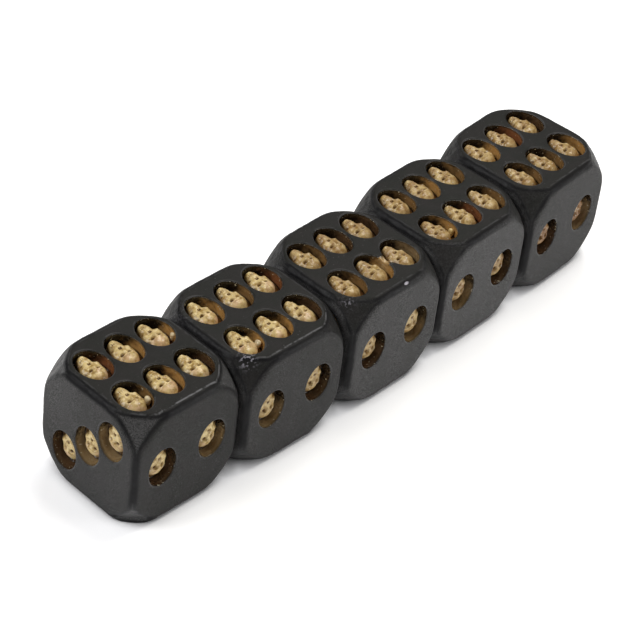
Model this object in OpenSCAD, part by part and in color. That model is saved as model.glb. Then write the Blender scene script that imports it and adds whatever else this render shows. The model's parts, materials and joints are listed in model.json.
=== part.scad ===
// Five small dice with skull pips, lying side by side in a loose row on a table.
// Millimetres, +Z up. The row runs along X, and the origin is on the table under the row's middle.
// Every die shows six on top (+Z), two in front (-Y) and three at its left end (-X).

/* [Die] */
// Distance between opposite faces of a die
die_size = 18; // [14:0.5:26]
// Rounding along the straight edges of a die
edge_round = 1; // [0.3:0.1:1.6]
// How far the ball form cuts a corner back from the sharp corner of the cube
corner_cut = 2.6; // [1.8:0.1:3.4]

/* [Wells] */
// Bare face between the end of an outer well and the die's edge
end_rim = 2.2; // [1.6:0.1:3]
// Bare face beside the outer wells of the six
six_side_rim = 1.45; // [1.2:0.05:2.4]
// Bare face beside the outer wells of the two, three, four and five
side_rim = 2.4; // [2:0.1:2.6]
// Wall between neighbouring wells in a row of the six
well_wall = 0.35; // [0.2:0.05:0.8]
// Band of face between the two rows of the six
row_gap = 1.2; // [0.6:0.1:2.4]
// Wall between the end of a well and the floor of a well round the edge
floor_wall = 0.3; // [0.2:0.05:0.8]
// How far the pair of the two sits above the middle of its face
two_raise = 0.2; // [0:0.1:1]

/* [Skull inlays] */
// Gap all round between the pad of an inlay and its well
inlay_gap = 0.05; // [0.03:0.01:0.2]
// Thickness of the oval pad that a skull stands on
pad_t = 0.4; // [0.2:0.05:0.8]
// Bare ledge of the pad round the widest part of a skull
pad_ledge = 0.25; // [0.1:0.05:0.6]
// How far the crown of a skull stays below the face of the die
crown_drop = 0.6; // [0.3:0.05:1]
// How far the jaw stays below the crown
jaw_drop = 0.2; // [0:0.05:0.5]
// Width of the jaw
jaw_w = 2.9; // [2:0.1:3.4]
// Radius of a cheekbone
cheek_r = 0.5; // [0.35:0.05:0.7]
// Distance from the middle line of a skull to the centre of a cheekbone
cheek_x = 1.3; // [0.9:0.05:1.5]
// Distance from the eye sockets to the cheekbones, towards the chin
cheek_ahead = 0.5; // [0.2:0.05:0.8]
// Radius of an eye socket
eye_r = 0.48; // [0.3:0.02:0.56]
// Distance from the middle line of a skull to the centre of an eye socket
eye_x = 0.65; // [0.58:0.01:0.9]
// Distance from the middle of the braincase to the eye sockets, towards the chin
eye_ahead = 0.6; // [0.3:0.05:1]
// Distance from the eye sockets to the nose hole, towards the chin
nose_ahead = 1; // [0.7:0.05:1.2]
// Radius of the three-cornered nose hole
nose_r = 0.32; // [0.2:0.02:0.45]
// Distance from the tip of the chin back to the line between the teeth
mouth_back = 1; // [0.6:0.05:1.3]
// Length of a slit between two teeth
tooth_len = 0.9; // [0.5:0.05:1.2]
// Distance between the slits of neighbouring teeth
tooth_pitch = 0.42; // [0.3:0.02:0.6]
// Width of a slit between two teeth
tooth_slit = 0.12; // [0.08:0.01:0.2]
// Depth of the slits and holes in a skull
carve_depth = 0.3; // [0.15:0.05:0.5]

/* [Row] */
// Least gap between neighbouring dice
die_gap = 0.15; // [0.1:0.05:2]
// Turn of each die about the vertical, in degrees, from left to right
row_yaw = [-1.1, -1.1, 0.7, 1.8, 3.7]; // [-8:0.1:8]
// Distance of each die's middle from the straight line of the row, from left to right
row_side = [0, -1.1, -1.4, -0.8, 0]; // [-4:0.1:4]

/* [Hidden] */
$fn = 64;
// How far a cutting shape runs past the face that it cuts
cut_past = 1;
die_count = len(row_yaw);
half = die_size / 2;
ball_r = half * sqrt(3) - corner_cut;

// An oval well: its mouth follows from what the rims and walls leave of the face
well_len = (die_size - 2 * end_rim - row_gap) / 2;
well_w = (die_size - 2 * six_side_rim - 2 * well_wall) / 3;
well_depth = end_rim - floor_wall;
column = well_w + well_wall;
row = (well_len + row_gap) / 2;
side_column = half - side_rim - well_w / 2;

// An inlay: its pad fills the well's floor, and the skull stands within the pad
pad_w = well_w - 2 * inlay_gap;
pad_len = well_len - 2 * inlay_gap;
skull_w = pad_w - 2 * pad_ledge;
skull_len = pad_len - 2 * pad_ledge;
skull_h = well_depth - crown_drop;
jaw_h = skull_h - jaw_drop;
braincase_y = (skull_w - skull_len) / 2;
jaw_y = (skull_len - jaw_w) / 2;
eye_y = braincase_y + eye_ahead;
cheek_y = eye_y + cheek_ahead;
nose_y = eye_y + nose_ahead;
mouth_y = skull_len / 2 - mouth_back;

// Faces by their number of pips: the turn that lifts +Z to the face, and the name
FACE_TURN = [[180, 0, 0], [90, 0, 0], [90, 0, -90], [90, 0, 90], [90, 0, 180], [0, 0, 0]];
FACE_NAME = ["one", "two", "three", "four", "five", "six"];

// Places of the pips on a face, across and along the wells
function pips(face) =
  face == 1 ? [[0, 0]]
  : face == 2 ? [for (s = [-1, 1]) [s * side_column, two_raise]]
  : face == 3 ? [for (s = [-1 : 1]) [s * side_column, s * row]]
  : face == 4 ? [for (s = [-1, 1], t = [-1, 1]) [s * side_column, t * row]]
  : face == 5 ? concat(pips(1), pips(4))
  : [for (s = [-1 : 1], t = [-1, 1]) [s * column, t * row]];

// Places of the dice: each stands beside the one before it, its nearest edge one gap away
function face_x(i) = half / cos(row_yaw[i]);
function lean(i) = tan(row_yaw[i]);
function step_x(i) =
  face_x(i - 1) + face_x(i) + half * abs(lean(i) - lean(i - 1))
  + row_side[i - 1] * lean(i - 1) - row_side[i] * lean(i) + die_gap;
function row_x(i) = i == 0 ? 0 : row_x(i - 1) + step_x(i);
function reach(i) = (half - edge_round) * (cos(row_yaw[i]) + abs(sin(row_yaw[i]))) + edge_round;
last = die_count - 1;
mid_x = (row_x(0) - reach(0) + row_x(last) + reach(last)) / 2;
back_y = max([for (i = [0 : last]) row_side[i] + reach(i)]);
front_y = min([for (i = [0 : last]) row_side[i] - reach(i)]);
mid_y = (back_y + front_y) / 2;

function body_name(die) = str("die_", die, "_body");
function skulls_name(die, face) = str("die_", die, "_skulls_", FACE_NAME[face - 1]);

// Puts a shape made round a die's middle where that die stands in the row
module at_die(die) {
  i = die - 1;
  translate([row_x(i) - mid_x, row_side[i] - mid_y, half]) rotate([0, 0, row_yaw[i]]) children();
}

// Repeats a shape on the floor of every well of one face
module at_pips(face) {
  rotate(FACE_TURN[face - 1])
    for (place = pips(face))
      translate([place[0], place[1], half - well_depth]) children();
}

module oval(width, length) {
  scale([width, length]) circle(d = 1);
}

module rounded_square() {
  flat = die_size - 2 * edge_round;
  square([die_size, flat], center = true);
  square([flat, die_size], center = true);
  for (x = [-1, 1], y = [-1, 1]) translate([x, y] * flat / 2) circle(r = edge_round);
}

// A cube with rounded edges, its corners cut back by a ball
module die_block() {
  intersection() {
    sphere(r = ball_r);
    for_each_axis() linear_extrude(die_size, center = true) rounded_square();
  }
}

module for_each_axis() {
  intersection_for (turn = [[0, 0, 0], [90, 0, 0], [0, 90, 0]]) rotate(turn) children();
}

// A ball's cap that stands on the floor, by its width there and its height
module dome(width, height) {
  cap_r = (width * width / 4 + height * height) / (2 * height);
  translate([0, 0, height - cap_r]) sphere(r = cap_r);
}

module skull_mass() {
  translate([0, braincase_y, 0]) dome(skull_w, skull_h);
  translate([0, jaw_y, 0]) dome(jaw_w, jaw_h);
  for (side = [-1, 1]) translate([side * cheek_x, cheek_y, pad_t]) sphere(r = cheek_r);
}

module skull_holes() {
  for (side = [-1, 1]) translate([side * eye_x, eye_y, skull_h]) sphere(r = eye_r);
  translate([0, nose_y, jaw_h - carve_depth])
    rotate([0, 0, -90]) cylinder(r = nose_r, h = carve_depth + cut_past, $fn = 3);
  translate([0, mouth_y, jaw_h - carve_depth]) {
    for (slit = [-1 : 1])
      translate([slit * tooth_pitch - tooth_slit / 2, -tooth_len / 2, 0])
        cube([tooth_slit, tooth_len, carve_depth + cut_past]);
    translate([-jaw_w / 2, -tooth_slit / 2, 0]) cube([jaw_w, tooth_slit, carve_depth + cut_past]);
  }
}

// One pip: an oval pad with a skull lying on it, face up and chin towards +Y
module skull_inlay() {
  linear_extrude(pad_t) oval(pad_w, pad_len);
  difference() {
    intersection() {
      skull_mass();
      translate([0, 0, pad_t / 2]) linear_extrude(skull_h) oval(pad_w, pad_len);
    }
    skull_holes();
  }
}

module die_body(die) {
  color([0.2, 0.2, 0.21])
    at_die(die)
      difference() {
        die_block();
        for (face = [1 : 6])
          at_pips(face) linear_extrude(well_depth + cut_past) oval(well_w, well_len);
      }
}

module die_skulls(die, face) {
  color([0.78, 0.66, 0.47]) at_die(die) at_pips(face) skull_inlay();
}

for (die = [1 : die_count]) {
  die_body(die);
  for (face = [1 : 6])
    die_skulls(die, face);
}
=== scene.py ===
"""Looks of five cast resin dice with skull pips, lying side by side on a pale floor.

A die is built round its own middle in millimetres, and its mesh is then placed in the row in metres.
"""

import json
import logging
import math
import random
from dataclasses import dataclass, field
from enum import Enum
from typing import Union

import bmesh
import bpy
from mathutils import Euler, Matrix, Vector, noise


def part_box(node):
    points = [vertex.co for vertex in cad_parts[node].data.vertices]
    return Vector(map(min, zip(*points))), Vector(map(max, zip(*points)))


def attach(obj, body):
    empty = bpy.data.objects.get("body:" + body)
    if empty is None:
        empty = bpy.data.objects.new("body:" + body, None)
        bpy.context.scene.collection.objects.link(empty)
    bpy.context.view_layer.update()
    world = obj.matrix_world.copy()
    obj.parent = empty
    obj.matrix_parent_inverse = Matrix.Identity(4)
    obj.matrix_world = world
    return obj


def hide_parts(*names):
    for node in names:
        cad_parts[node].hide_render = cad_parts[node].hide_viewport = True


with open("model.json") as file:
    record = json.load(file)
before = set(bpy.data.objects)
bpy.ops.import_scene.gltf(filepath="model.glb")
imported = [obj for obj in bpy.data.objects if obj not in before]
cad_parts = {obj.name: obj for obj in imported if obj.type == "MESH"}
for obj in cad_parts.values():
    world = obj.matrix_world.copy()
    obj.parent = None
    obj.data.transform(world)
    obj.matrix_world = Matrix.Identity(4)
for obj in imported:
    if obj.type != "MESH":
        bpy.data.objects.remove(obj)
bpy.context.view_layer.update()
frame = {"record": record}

MM = 0.001
LOG = logging.getLogger("dice")
Colour = tuple[float, float, float]
Span = tuple[float, float]
Feed = Union[float, Colour, bpy.types.NodeSocket]

# How far below the level of a face its ball-cut corners begin, and where they are fully reached
CORNER_DROP: Span = (0.25, 0.75)
# Middle of a noise node's values
NOISE_MIDDLE = 0.5
# Share of a flaw below which a vertex is left alone
UNTOUCHED = 0.01
# How much of a seed goes along the second and the third axis of the noise
SEED_SIDES: Span = (0.37, -0.61)


class Face(Enum):
    """The faces of a die: number of pips, name, and the turn in degrees that lifts +Z to the face."""

    ONE = (1, "one", (180, 0, 0))
    TWO = (2, "two", (90, 0, 0))
    THREE = (3, "three", (90, 0, -90))
    FOUR = (4, "four", (90, 0, 90))
    FIVE = (5, "five", (90, 0, 180))
    SIX = (6, "six", (0, 0, 0))

    @property
    def pips(self) -> int:
        """Number of pips on the face."""
        return self.value[0]

    @property
    def word(self) -> str:
        """Name of the face, as the frame's nodes spell it."""
        return self.value[1]

    def turn(self) -> Matrix:
        """Rotation that takes the upward direction to the face's outward direction."""
        return FACE_TURNS[self]

    @classmethod
    def facing(cls, direction: Vector) -> "Face":
        """Finds the face that looks most in a direction.

        Args:
            direction: A direction, or a point on the surface of a cube.

        Returns:
            The face whose outward direction is nearest.
        """
        axis = max(range(3), key=lambda index: abs(direction[index]))
        return FACE_BY_AXIS[axis, direction[axis] > 0]


FACE_TURNS = {
    face: Euler([math.radians(angle) for angle in face.value[2]], "XYZ").to_matrix() for face in Face
}
FACE_BY_AXIS = {
    (axis, positive): max(Face, key=lambda face: (1 if positive else -1) * FACE_TURNS[face].col[2][axis])
    for axis in range(3)
    for positive in (False, True)
}


class Varnish(Enum):
    """Colours that the varnish has in different wells."""

    DARK = (0.090, 0.050, 0.025)
    RED = (0.235, 0.090, 0.036)
    BROWN = (0.260, 0.150, 0.056)
    AMBER = (0.500, 0.280, 0.090)
    OLIVE = (0.280, 0.195, 0.098)
    BONE = (0.480, 0.325, 0.150)


SIDE_VARNISH = {
    Face.ONE: (Varnish.AMBER,),
    Face.TWO: (Varnish.DARK, Varnish.OLIVE),
    Face.THREE: (Varnish.DARK, Varnish.OLIVE, Varnish.OLIVE),
    Face.FOUR: (Varnish.OLIVE, Varnish.BROWN, Varnish.RED, Varnish.AMBER),
    Face.FIVE: (Varnish.AMBER, Varnish.BROWN, Varnish.OLIVE, Varnish.RED, Varnish.BROWN),
}


def bell(offset: float, width: float) -> float:
    """Smooth hump of height 1 at no offset, which has mostly died away at twice the width."""
    return math.exp(-((offset / width) ** 2))


def ease(value: float, low: float, high: float) -> float:
    """Smooth step of a value, from 0 at low to 1 at high."""
    share = max(0.0, min(1.0, (value - low) / (high - low)))
    return share * share * (3 - 2 * share)


def smooth_min(first: float, second: float, blend: float) -> float:
    """Smaller of two numbers, rounded over within a blend of where they meet."""
    share = max(0.0, min(1.0, 0.5 + 0.5 * (second - first) / blend))
    return second + (first - second) * share - blend * share * (1 - share)


def follow(profile: tuple[tuple[float, float], ...], place: float) -> float:
    """Reads a smooth curve drawn through a few points.

    Args:
        profile: Points of the curve, as pairs of place and height in rising order of place.
        place: Place to read it at.

    Returns:
        The height, which stays at the end points' heights past them.
    """
    if place <= profile[0][0]:
        return profile[0][1]
    for index in range(1, len(profile)):
        if place <= profile[index][0]:
            break
    else:
        return profile[-1][1]
    (x0, y0), (x1, y1) = profile[index - 1], profile[index]
    before, after = profile[max(0, index - 2)], profile[min(len(profile) - 1, index + 1)]
    share = (place - x0) / (x1 - x0)
    slope0 = (y1 - before[1]) / (x1 - before[0]) * (x1 - x0)
    slope1 = (after[1] - y0) / (after[0] - x0) * (x1 - x0)
    square, cube = share**2, share**3
    start = (2 * cube - 3 * square + 1) * y0 + (cube - 2 * square + share) * slope0
    return start + (3 * square - 2 * cube) * y1 + (cube - square) * slope1


def lump(spot: Vector, scale: float, seed: float) -> float:
    """Smooth unevenness between about -1 and 1 at a point.

    Args:
        spot: Point in millimetres.
        scale: Lumps per millimetre.
        seed: Offset that makes one piece differ from the next.

    Returns:
        The unevenness.
    """
    return noise.noise(spot * scale + Vector((seed, seed * SEED_SIDES[0], seed * SEED_SIDES[1])))


def lumps(spot: Vector, scales: Span, seed: float, fine: float = 0.5, shift: float = 0.0) -> float:
    """Coarse unevenness with a finer one on it.

    Args:
        spot: Point in millimetres.
        scales: Coarse and fine lumps per millimetre.
        seed: Offset that makes one piece differ from the next.
        fine: Weight of the finer lumps.
        shift: Change of the seed for the finer lumps.

    Returns:
        The unevenness.
    """
    return lump(spot, scales[0], seed) + fine * lump(spot, scales[1], seed + shift)


def marks(bm: bmesh.types.BMesh, *names: str) -> list[bmesh.types.BMLayerItem]:
    """Layers of numbers at a bmesh's vertices, by their names."""
    return [bm.verts.layers.float[name] for name in names]


def new_piece(bm: bmesh.types.BMesh, name: str, material: bpy.types.Material) -> bpy.types.Object:
    """Turns a finished bmesh into a smooth-shaded object at the origin.

    Args:
        bm: The bmesh, in the row's metres. It is freed.
        name: Name of the piece.
        material: Finish of the piece.

    Returns:
        The new object, linked to the scene.
    """
    mesh = bpy.data.meshes.new(name)
    bm.to_mesh(mesh)
    bm.free()
    mesh.shade_smooth()
    mesh.materials.append(material)
    piece = bpy.data.objects.new(name, mesh)
    bpy.context.scene.collection.objects.link(piece)
    return piece


@dataclass(frozen=True)
class Grain:
    """A cloudy noise: clouds per millimetre, octaves of finer clouds, and the weight of each octave."""

    scale: float
    detail: float = 2.0
    rough: float = 0.5


class Graph:
    """Builds the nodes of one material, so that a finish reads as a recipe."""

    def __init__(self, name: str) -> None:
        """Starts a material that holds only an output.

        Args:
            name: Name of the material.
        """
        self.material = bpy.data.materials.new(name)
        self.material.use_nodes = True
        self.tree = self.material.node_tree
        self.tree.nodes.clear()
        self.output = self.tree.nodes.new("ShaderNodeOutputMaterial")

    def add(self, kind: str, **settings: object) -> bpy.types.Node:
        """Adds a node and sets its properties.

        Args:
            kind: Type of the node.
            settings: Properties of the node and their values.

        Returns:
            The node.
        """
        node = self.tree.nodes.new(kind)
        for name, value in settings.items():
            setattr(node, name, value)
        return node

    def feed(self, socket: bpy.types.NodeSocket, value: Feed) -> None:
        """Links a socket to another node's output, or sets its own value.

        Args:
            socket: Input to fill.
            value: An output socket, a number, a colour or a vector.
        """
        if isinstance(value, bpy.types.NodeSocket):
            self.tree.links.new(value, socket)
        elif socket.type == "RGBA":
            socket.default_value = (*value, 1.0)
        else:
            socket.default_value = value

    def math(self, operation: str, *parts: Feed) -> Feed:
        """Carries one operation through several numbers in turn.

        Args:
            operation: Name of the operation.
            parts: The numbers.

        Returns:
            The result's socket.
        """
        result = parts[0]
        for part in parts[1:]:
            node = self.add("ShaderNodeMath", operation=operation)
            self.feed(node.inputs[0], result)
            self.feed(node.inputs[1], part)
            result = node.outputs[0]
        return result

    def total(self, *parts: Feed) -> Feed:
        """Sum of several numbers."""
        return self.math("ADD", *parts)

    def less(self, *parts: Feed) -> Feed:
        """First number less the others."""
        return self.math("SUBTRACT", *parts)

    def times(self, *parts: Feed) -> Feed:
        """Product of several numbers."""
        return self.math("MULTIPLY", *parts)

    def highest(self, *parts: Feed) -> Feed:
        """Largest of several numbers."""
        return self.math("MAXIMUM", *parts)

    def lowest(self, *parts: Feed) -> Feed:
        """Smallest of several numbers."""
        return self.math("MINIMUM", *parts)

    def size(self, value: Feed) -> Feed:
        """Number without its sign."""
        return self.highest(value, self.times(value, -1.0))

    def waver(self, cloud: Feed, by: float) -> Feed:
        """Noise laid to both sides of 0, and weighted."""
        return self.times(self.less(cloud, NOISE_MIDDLE), by)

    def stretch(self, vector: Feed, by: Colour) -> bpy.types.NodeSocket:
        """Multiplies a vector axis by axis.

        Args:
            vector: The vector.
            by: Factor for each axis.

        Returns:
            The stretched vector's socket.
        """
        node = self.add("ShaderNodeVectorMath", operation="MULTIPLY")
        self.feed(node.inputs[0], vector)
        self.feed(node.inputs[1], by)
        return node.outputs[0]

    def axes(self, vector: Feed) -> list[bpy.types.NodeSocket]:
        """Takes a vector apart.

        Args:
            vector: The vector.

        Returns:
            The sockets of its three numbers.
        """
        node = self.add("ShaderNodeSeparateXYZ")
        self.feed(node.inputs[0], vector)
        return node.outputs[:3]

    def mix(self, share: Feed, first: Feed, second: Feed) -> bpy.types.NodeSocket:
        """Mixes two colours.

        Args:
            share: Share of the second colour.
            first: Colour at no share.
            second: Colour at full share.

        Returns:
            The mixed colour's socket.
        """
        node = self.add("ShaderNodeMix", data_type="RGBA")
        self.feed(node.inputs[0], share)
        self.feed(node.inputs[6], first)
        self.feed(node.inputs[7], second)
        return node.outputs[2]

    def slide(
        self, value: Feed, low: float, high: float, start: float = 0.0, end: float = 1.0
    ) -> bpy.types.NodeSocket:
        """Smooth change of a number between two levels.

        Args:
            value: Number to read.
            low: Value at which the change starts.
            high: Value at which it ends.
            start: Result at low.
            end: Result at high.

        Returns:
            The result's socket.
        """
        node = self.add("ShaderNodeMapRange", interpolation_type="SMOOTHSTEP")
        for index, number in enumerate((value, low, high, start, end)):
            self.feed(node.inputs[index], number)
        return node.outputs[0]

    def noise(self, vector: Feed, grain: Grain) -> bpy.types.NodeSocket:
        """Cloudy noise, mostly between 0.25 and 0.75.

        Args:
            vector: Coordinates to read it at.
            grain: Fineness of the noise.

        Returns:
            The noise's socket.
        """
        node = self.add("ShaderNodeTexNoise")
        self.feed(node.inputs["Vector"], vector)
        self.feed(node.inputs["Scale"], grain.scale)
        self.feed(node.inputs["Detail"], grain.detail)
        self.feed(node.inputs["Roughness"], grain.rough)
        return node.outputs["Fac"]

    def millimetres(self) -> bpy.types.NodeSocket:
        """Place on the object in millimetres."""
        place = self.add("ShaderNodeTexCoord").outputs["Object"]
        return self.stretch(place, (1 / MM,) * 3)

    def mark(self, name: str, output: str = "Fac") -> bpy.types.NodeSocket:
        """What the mesh carries at its vertices by an attribute's name: a number, or its Vector."""
        return self.add("ShaderNodeAttribute", attribute_name=name).outputs[output]

    def surface(
        self,
        colour: Feed,
        rough: Feed,
        height: Feed,
        specular: float,
        coat: Feed = 0.0,
        coat_rough: float = 0.2,
    ) -> bpy.types.Node:
        """Ends the recipe with a shader.

        Args:
            colour: Base colour.
            rough: Roughness.
            height: Height of the surface detail in millimetres.
            specular: Specular level, the same all over.
            coat: Weight of a clear coat.
            coat_rough: Roughness of the coat, the same all over.

        Returns:
            The shader's node.
        """
        bump = self.add("ShaderNodeBump")
        self.feed(bump.inputs["Distance"], MM)
        self.feed(bump.inputs["Height"], height)
        shader = self.add("ShaderNodeBsdfPrincipled")
        settings = {
            "Base Color": colour,
            "Roughness": rough,
            "Normal": bump.outputs[0],
            "Specular IOR Level": specular,
            "Coat Weight": coat,
            "Coat Roughness": coat_rough,
            "Coat Normal": bump.outputs[0],
        }
        for name, value in settings.items():
            self.feed(shader.inputs[name], value)
        self.tree.links.new(shader.outputs[0], self.output.inputs["Surface"])
        return shader


@dataclass(frozen=True)
class DieSizes:
    """Sizes of one die in millimetres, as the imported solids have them."""

    half: float = 9.0
    edge_round: float = 1.0
    ball: float = 12.99
    well_width: float = 4.8
    well_length: float = 6.2
    well_depth: float = 1.9
    column: float = 5.15
    row: float = 3.7
    side_column: float = 4.2
    two_raise: float = 0.2

    @property
    def flat_radius(self) -> float:
        """Radius at which the ball form meets the flat of a face."""
        return math.sqrt(self.ball**2 - self.half**2)

    def below(self, drops: Span) -> Span:
        """Two distances from the die's middle, each by its drop below the level of a face."""
        return self.half - drops[0], self.half - drops[1]

    def pip_places(self, face: Face) -> list[tuple[float, float]]:
        """Places of a face's wells, across and along them.

        Args:
            face: The face.

        Returns:
            One place for each pip.
        """
        across, along = self.side_column, self.row
        four = [(s * across, t * along) for s in (-1, 1) for t in (-1, 1)]
        return {
            Face.ONE: [(0.0, 0.0)],
            Face.TWO: [(s * across, self.two_raise) for s in (-1, 1)],
            Face.THREE: [(s * across, s * along) for s in (-1, 0, 1)],
            Face.FOUR: four,
            Face.FIVE: [(0.0, 0.0), *four],
            Face.SIX: [(s * self.column, t * along) for s in (-1, 0, 1) for t in (-1, 1)],
        }[face]


@dataclass(frozen=True)
class DiePlace:
    """Where one die stands in the row."""

    number: int
    centre: Vector
    yaw: float

    @classmethod
    def from_frame(cls, number: int) -> "DiePlace":
        """Reads a die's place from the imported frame.

        Args:
            number: Number of the die, from the left.

        Returns:
            Its place. The mark on its underside lies towards its own +X, which gives its turn.
        """
        low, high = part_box(f"die_{number}_body")
        centre = (low + high) / 2
        mounts = {mount["name"]: mount for mount in frame["record"]["mounts"]}
        ahead = Vector(mounts[f"die_{number}_underside"]["pos_m"]) - centre
        return cls(number, centre, math.atan2(ahead.y, ahead.x))

    def matrix(self) -> Matrix:
        """Takes the die's own millimetres to the row's metres."""
        turn = Matrix.Rotation(self.yaw, 4, "Z")
        return Matrix.Translation(self.centre) @ turn @ Matrix.Scale(MM, 4)


@dataclass(frozen=True)
class Chip:
    """A knocked spot along a front edge of a die, in the die's millimetres, painted pale: partly lighter
    bare resin, partly a painted highlight.
    """

    spot: tuple[float, float, float]
    radius: float
    depth: float
    slenderness: float = 2.0

    def share(self, spot: Vector) -> float:
        """Tells how far a point of the die is inside the knocked spot.

        Args:
            spot: The point.

        Returns:
            The share, from 0 to 1.
        """
        away = spot - Vector(self.spot)
        away.x /= self.slenderness
        return bell(away.length, self.radius)


@dataclass(frozen=True)
class PittedSpot:
    """A rough, shiny spot of cast skin on the outside of a die, in the die's millimetres, with glints
    painted on it.
    """

    spot: tuple[float, float, float]
    radius: float
    glints: float = 0.0

    def share(self, spot: Vector) -> float:
        """How far a point of the die is inside the rough spot, from 0 to 1."""
        return bell((spot - Vector(self.spot)).length, self.radius)


@dataclass(frozen=True)
class FullCorner:
    """A bottom corner of a die with a straight foot below the ball form's cut."""

    side: tuple[int, int]
    foot_radius: float = 9.9

    def reach(self, way: Vector, ball: float) -> float:
        """Widens the ball form down to the foot.

        Args:
            way: Direction from the die's middle.
            ball: Radius of the ball form in that direction.

        Returns:
            The radius that the corner has there.
        """
        if way.z >= 0 or way.x * self.side[0] <= 0 or way.y * self.side[1] <= 0:
            return ball
        return max(ball, self.foot_radius / math.hypot(way.x, way.y))


@dataclass(frozen=True)
class Breach:
    """A broken stretch of the thin wall between two wells on top of a die, in the die's millimetres."""

    spot: tuple[float, float]
    half_width: float = 0.7
    half_length: float = 0.9
    depth: float = 0.5
    varnished_from: Span = (0.1, 0.5)
    varnish_depth: float = 0.4

    def share(self, spot: Vector) -> float:
        """How far a point of the die is inside the broken stretch, from 0 to 1."""
        across = bell(spot.x - self.spot[0], self.half_width)
        return across * bell(spot.y - self.spot[1], self.half_length)


@dataclass(frozen=True)
class Bead:
    """A bead of bone resin that ran beside a skull of the six, in its well's millimetres."""

    pip: int
    spot: tuple[float, float]
    size: tuple[float, float, float] = (0.36, 0.50, 0.38)
    height: float = 1.15
    bleach: float = 0.4
    uneven: float = 0.18
    uneven_scale: float = 2.0
    stem_foot: float = 0.1


@dataclass(frozen=True)
class DieLook:
    """What sets one die apart from the others: its stains, a dusting with painted light that lightens its
    sides and corners, painted shade on its side skulls, and its flaws.
    """

    top_varnish: tuple[Varnish, ...]
    # A dusting on the sides, together with painted light that lightens the sides and corners
    dust_and_painted_light: float
    corner_dust_and_light: float
    top_wash: float
    # Stain on the side skulls, which also paints shade on them
    side_wash_and_shade: float
    corner_wipe: float = 0.8
    chips: tuple[Chip, ...] = ()
    pitted: tuple[PittedSpot, ...] = ()
    breach: Union[Breach, None] = None
    full_corners: tuple[FullCorner, ...] = ()
    beads: tuple[Bead, ...] = ()


# The dice from left to right
LOOKS = (
    DieLook(
        (Varnish.BROWN, Varnish.RED, Varnish.AMBER, Varnish.AMBER, Varnish.DARK, Varnish.AMBER),
        dust_and_painted_light=0.85,
        corner_dust_and_light=3.8,
        top_wash=0.1,
        side_wash_and_shade=0.0,
        corner_wipe=0.0,
        pitted=(PittedSpot((-7.4, 6.6, 8.0), 1.8),),
        full_corners=(FullCorner((-1, -1), 10.25), FullCorner((1, -1))),
        beads=(Bead(0, (1.6, -1.0)), Bead(5, (1.85, -1.35), (0.32, 0.40, 0.34), 1.2)),
    ),
    DieLook(
        (Varnish.AMBER, Varnish.AMBER, Varnish.AMBER, Varnish.BROWN, Varnish.DARK, Varnish.RED),
        dust_and_painted_light=1.4,
        corner_dust_and_light=0.2,
        top_wash=0.15,
        side_wash_and_shade=0.4,
        pitted=(PittedSpot((-7.27, -6.53, 8.6), 0.9, 0.8), PittedSpot((-8.4, 5.3, 8.6), 2.2, 0.06)),
        full_corners=(FullCorner((1, -1)),),
        beads=(Bead(0, (1.6, -1.0)),),
    ),
    DieLook(
        (Varnish.BROWN, Varnish.BROWN, Varnish.AMBER, Varnish.DARK, Varnish.OLIVE, Varnish.DARK),
        dust_and_painted_light=3.1,
        corner_dust_and_light=0.1,
        top_wash=0.9,
        side_wash_and_shade=0.8,
        chips=(Chip((1.14, -8.66, 8.8), 0.2, 0.2),),
        pitted=(PittedSpot((-7.61, -6.17, 8.6), 0.7, 0.4),),
        breach=Breach((2.57, -3.5)),
        full_corners=(FullCorner((1, -1)),),
    ),
    DieLook(
        (Varnish.AMBER, Varnish.BROWN, Varnish.RED, Varnish.AMBER, Varnish.BROWN, Varnish.BROWN),
        dust_and_painted_light=4.2,
        corner_dust_and_light=0.2,
        top_wash=0.95,
        side_wash_and_shade=1.1,
        full_corners=(FullCorner((1, -1), 9.8),),
        beads=(Bead(0, (1.5, -1.2), (0.30, 0.42, 0.34), bleach=0.0),),
    ),
    DieLook(
        (Varnish.BROWN, Varnish.AMBER, Varnish.BROWN, Varnish.RED, Varnish.AMBER, Varnish.DARK),
        dust_and_painted_light=2.2,
        corner_dust_and_light=0.3,
        top_wash=0.95,
        side_wash_and_shade=2.0,
    ),
)


@dataclass(frozen=True)
class Whereabouts:
    """Where a place lies on a die, as sockets of its finish.

    The border is the distance in millimetres from the border of a flat, above 0 on it and below 0 past
    it. The others go from 0 to 1: how far the place is within a ball-cut corner, within the top or the
    bottom, along the front towards its right end, and near the front at all.
    """

    border: bpy.types.NodeSocket
    in_corner: bpy.types.NodeSocket
    in_level: bpy.types.NodeSocket
    in_front: bpy.types.NodeSocket
    near_front: bpy.types.NodeSocket


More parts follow.
